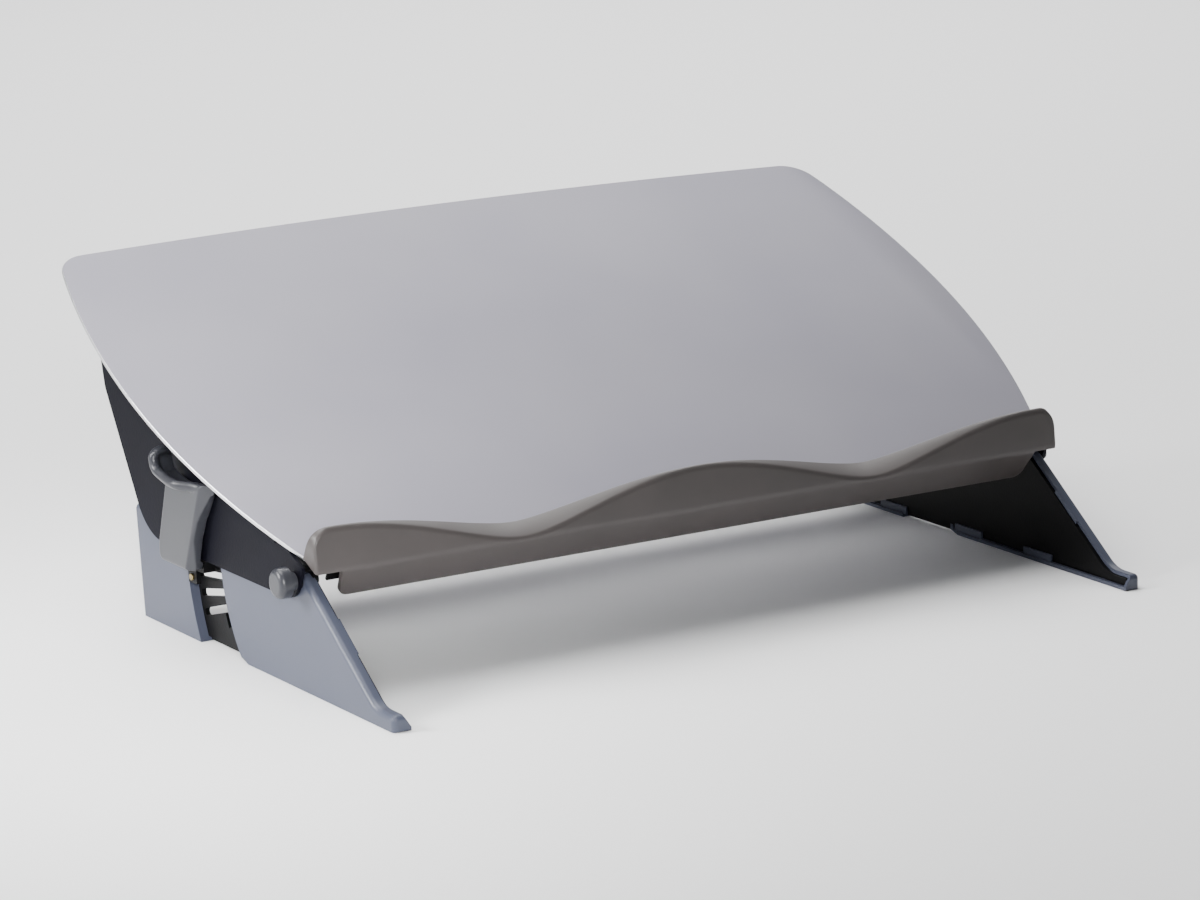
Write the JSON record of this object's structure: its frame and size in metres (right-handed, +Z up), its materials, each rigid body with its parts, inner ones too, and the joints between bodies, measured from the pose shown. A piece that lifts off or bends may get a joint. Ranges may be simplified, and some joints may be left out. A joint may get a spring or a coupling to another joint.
{
  "type": "tilting desk writing slope",
  "caption": "Desk writing slope that straddles a keyboard: a wide board with a wavy ledge glides on a frame that tilts between two legs and locks with squeeze levers.",
  "frame": {"origin": "on the table top, under the middle of the whole slope's bounding box", "axes": "+X to the right along the ledge, +Y away from the writer, +Z up; the slope is mirrored about X = 0 except for the knob on its left pivot and a slit in its left plate"},
  "size_m": [0.559, 0.3726, 0.2036],
  "materials": {
    "board_silver": "satin silver-grey coated sheet with a bright cut edge",
    "ledge_grey": "smooth metallic-grey moulding",
    "arm_charcoal": "fine-textured charcoal powder coat",
    "cover_grey": "satin blue-grey moulding",
    "plate_black": "black powder coat",
    "pawl_black": "black oxide steel",
    "lever_grey": "satin mid-grey moulding",
    "slide_nylon": "natural nylon",
    "plain_steel": "zinc-plated steel",
    "pad_rubber": "black rubber"
  },
  "bodies": {
    "base": {"inner_plate_left": "plate_black", "inner_plate_right": "plate_black", "front_cover_left": "cover_grey", "front_cover_right": "cover_grey", "rear_cover_left": "cover_grey", "rear_cover_right": "cover_grey", "foot_pads_left": "pad_rubber", "foot_pads_right": "pad_rubber", "pivot_pin_left": "plain_steel", "pivot_pin_right": "plain_steel", "pivot_washer_left": "slide_nylon", "pivot_washer_right": "slide_nylon", "pivot_knob": "lever_grey", "pivot_cap": "lever_grey", "cross_tube": "plate_black", "tube_plugs": "plain_steel", "tube_screws": "plain_steel"},
    "tilt_frame": {"side_arm_left": "arm_charcoal", "side_arm_right": "arm_charcoal", "slide_rail_left": "plate_black", "slide_rail_right": "plate_black", "frame_rivets_left": "arm_charcoal", "frame_rivets_right": "arm_charcoal", "front_cross_bar": "plate_black", "rear_cross_bar": "plate_black", "rail_buffers": "pad_rubber", "lever_bracket_left": "plate_black", "lever_bracket_right": "plate_black", "lever_hinge_pin_left": "plain_steel", "lever_hinge_pin_right": "plain_steel", "lever_spring_left": "plain_steel", "lever_spring_right": "plain_steel"},
    "platform": {"writing_board": "board_silver", "paper_ledge": "ledge_grey", "ledge_screws": "plain_steel", "slide_runner_left": "slide_nylon", "slide_runner_right": "slide_nylon", "slide_stop": "slide_nylon"},
    "lever_left": {"release_lever_left": "lever_grey", "locking_pawl_left": "pawl_black", "pawl_pin_left": "plain_steel"},
    "lever_right": {"release_lever_right": "lever_grey", "locking_pawl_right": "pawl_black", "pawl_pin_right": "plain_steel"}
  },
  "joints": [
    {"name": "board_tilt", "type": "hinge", "parent": "base", "child": "tilt_frame", "pos_m": [0, -0.08627, 0.0625], "axis": [1, 0, 0], "range_deg": [-14.55, 0]},
    {"name": "board_glide", "type": "slide", "parent": "tilt_frame", "child": "platform", "axis": [0, -0.9085, -0.4179], "range_m": [0, 0.075]},
    {"name": "release_left", "type": "hinge", "parent": "tilt_frame", "child": "lever_left", "pos_m": [-0.257, 0.03173, 0.0875], "axis": [0, 1, 0], "range_deg": [-2.6, 5], "stiffness_Nm_per_rad": 0.6},
    {"name": "release_right", "type": "hinge", "parent": "tilt_frame", "child": "lever_right", "pos_m": [0.257, 0.03173, 0.0875], "axis": [0, -1, 0], "range_deg": [-2.6, 5], "stiffness_Nm_per_rad": 0.6}
  ]
}
